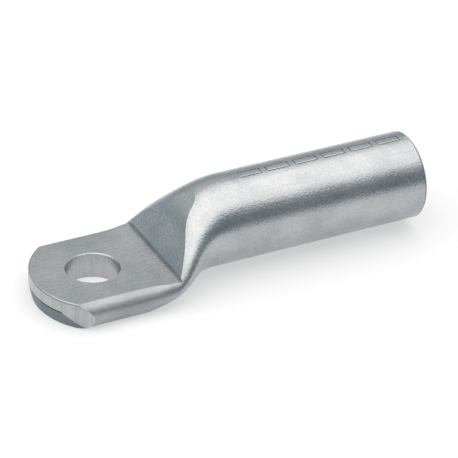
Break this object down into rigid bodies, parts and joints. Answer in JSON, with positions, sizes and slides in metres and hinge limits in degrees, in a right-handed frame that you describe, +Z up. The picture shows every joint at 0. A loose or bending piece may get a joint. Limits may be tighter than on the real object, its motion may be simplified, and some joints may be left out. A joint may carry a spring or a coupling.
{
  "type": "cable lug",
  "caption": "Tubular aluminium crimp lug with a barrel for stranded cable, a pressed neck and a flat palm drilled for a bolt.",
  "frame": {"origin": "centre of the bolt hole on the palm's underside", "axes": "+X along the lug from the bolt hole to the barrel's mouth, +Y across the palm, +Z up through the palm, along the bolt"},
  "size_m": [0.1014, 0.0324, 0.023],
  "materials": {
    "lug_aluminium": "satin, drawn and pressed, with fine lines along the tube"
  },
  "bodies": {
    "root": {"cable_lug": "lug_aluminium"}
  },
  "joints": []
}
